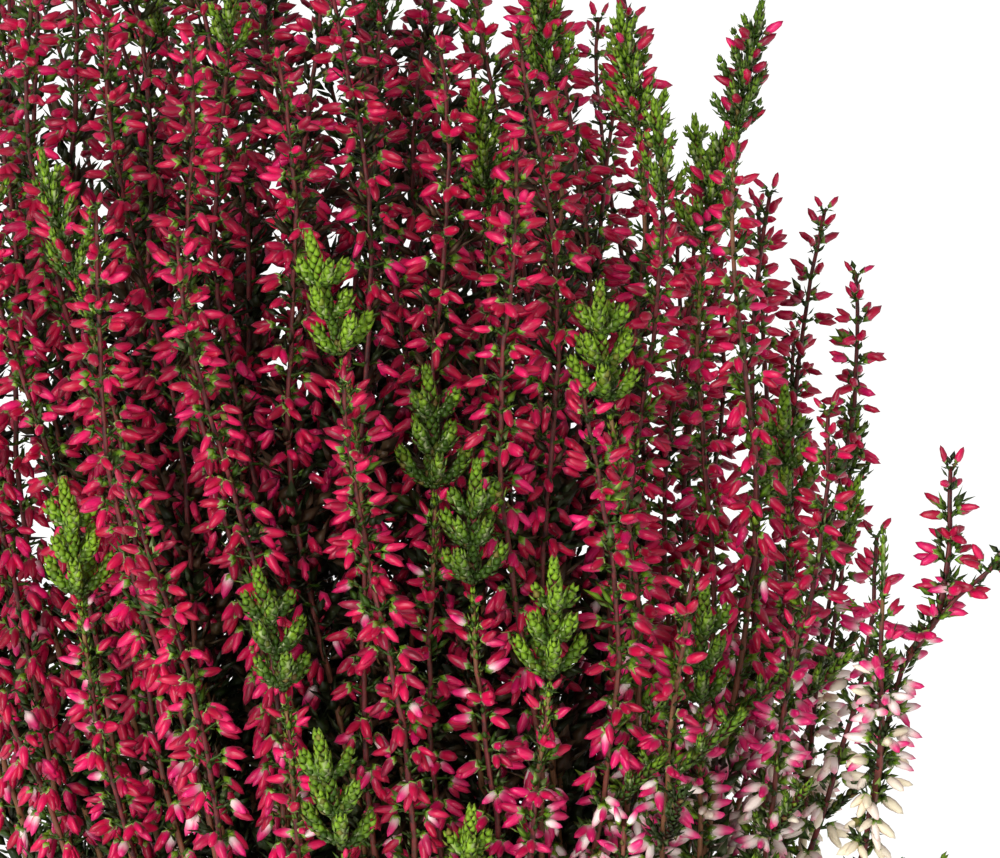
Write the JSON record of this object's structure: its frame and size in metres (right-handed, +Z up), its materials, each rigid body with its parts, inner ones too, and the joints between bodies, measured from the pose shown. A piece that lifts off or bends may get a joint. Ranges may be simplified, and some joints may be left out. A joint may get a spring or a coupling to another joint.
{
  "type": "potted heather",
  "caption": "Bud-blooming heather in a plain round nursery pot: a dense bush of upright crimson flower spikes, green leafy tips and a long stray branch, to stand on a surface.",
  "frame": {"origin": "centre of the pot's underside, on the surface that the pot stands on", "axes": "+Z up out of the pot; +X to the side that the long stray branch leans to; -Y is the front"},
  "size_m": [0.2408, 0.2082, 0.3749],
  "materials": {
    "pot_plastic": "moulded polypropylene, satin",
    "peat": "moist crumbled peat, matt",
    "flowering_spray": "satin flower buds on thin woody stems",
    "green_leaf": "small scale leaves, slightly waxy"
  },
  "bodies": {
    "root": {"leafy_shoot_01": "green_leaf", "leafy_shoot_02": "green_leaf", "leafy_shoot_03": "green_leaf", "leafy_shoot_04": "green_leaf", "leafy_shoot_05": "green_leaf", "leafy_shoot_06": "green_leaf", "leafy_shoot_07": "green_leaf", "leafy_shoot_08": "green_leaf", "leafy_tip_01": "green_leaf", "leafy_tip_02": "green_leaf", "leafy_tip_03": "green_leaf", "leafy_tip_04": "green_leaf", "leafy_tip_05": "green_leaf", "leafy_tip_06": "green_leaf", "leafy_tip_07": "green_leaf", "leafy_tip_08": "green_leaf", "leafy_tip_09": "green_leaf", "leafy_tip_10": "green_leaf", "leafy_tip_11": "green_leaf", "leafy_tip_12": "green_leaf", "leafy_tip_13": "green_leaf", "leafy_tip_14": "green_leaf", "leafy_tip_15": "green_leaf", "leafy_tip_16": "green_leaf", "leafy_tip_17": "green_leaf", "pot": "pot_plastic", "soil": "peat", "spray_01": "flowering_spray", "spray_02": "flowering_spray", "spray_03": "flowering_spray", "spray_04": "flowering_spray", "spray_05": "flowering_spray", "spray_06": "flowering_spray", "spray_07": "flowering_spray", "spray_08": "flowering_spray", "spray_09": "flowering_spray", "spray_10": "flowering_spray", "spray_11": "flowering_spray", "spray_12": "flowering_spray", "spray_13": "flowering_spray", "spray_14": "flowering_spray", "spray_15": "flowering_spray", "spray_16": "flowering_spray", "spray_17": "flowering_spray", "spray_18": "flowering_spray", "spray_19": "flowering_spray", "spray_20": "flowering_spray", "spray_21": "flowering_spray", "spray_22": "flowering_spray", "spray_23": "flowering_spray", "spray_24": "flowering_spray", "spray_25": "flowering_spray", "spray_26": "flowering_spray", "spray_27": "flowering_spray", "spray_28": "flowering_spray", "spray_29": "flowering_spray", "spray_30": "flowering_spray", "spray_31": "flowering_spray", "spray_32": "flowering_spray", "stray_spray": "flowering_spray"}
  },
  "joints": []
}
